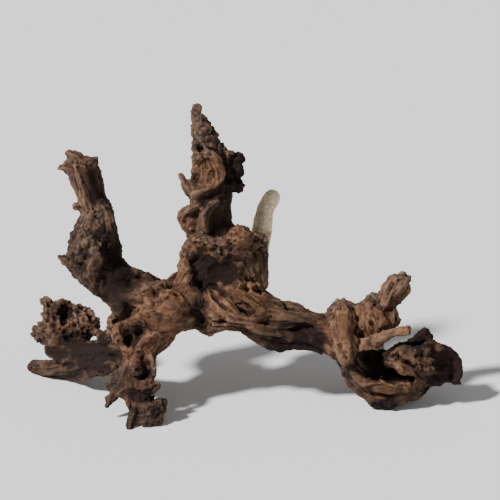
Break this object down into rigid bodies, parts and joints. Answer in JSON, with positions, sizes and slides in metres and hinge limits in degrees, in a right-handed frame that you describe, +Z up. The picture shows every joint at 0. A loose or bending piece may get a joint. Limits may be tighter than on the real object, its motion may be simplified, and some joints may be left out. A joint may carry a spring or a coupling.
{
  "type": "driftwood",
  "caption": "Gnarled, branching driftwood that stands on three low points, with tall broken horns, a worn pale stick, a porous end, a deep crown hollow and a claw-shaped limb.",
  "frame": {"origin": "on the surface it stands on, under the middle of its bounding box", "axes": "+X along its length from the porous end to the claw, +Y to its back, +Z up"},
  "size_m": [0.4455, 0.1642, 0.2958],
  "materials": {
    "driftwood": "weathered, matt"
  },
  "bodies": {
    "root": {"driftwood": "driftwood"}
  },
  "joints": []
}
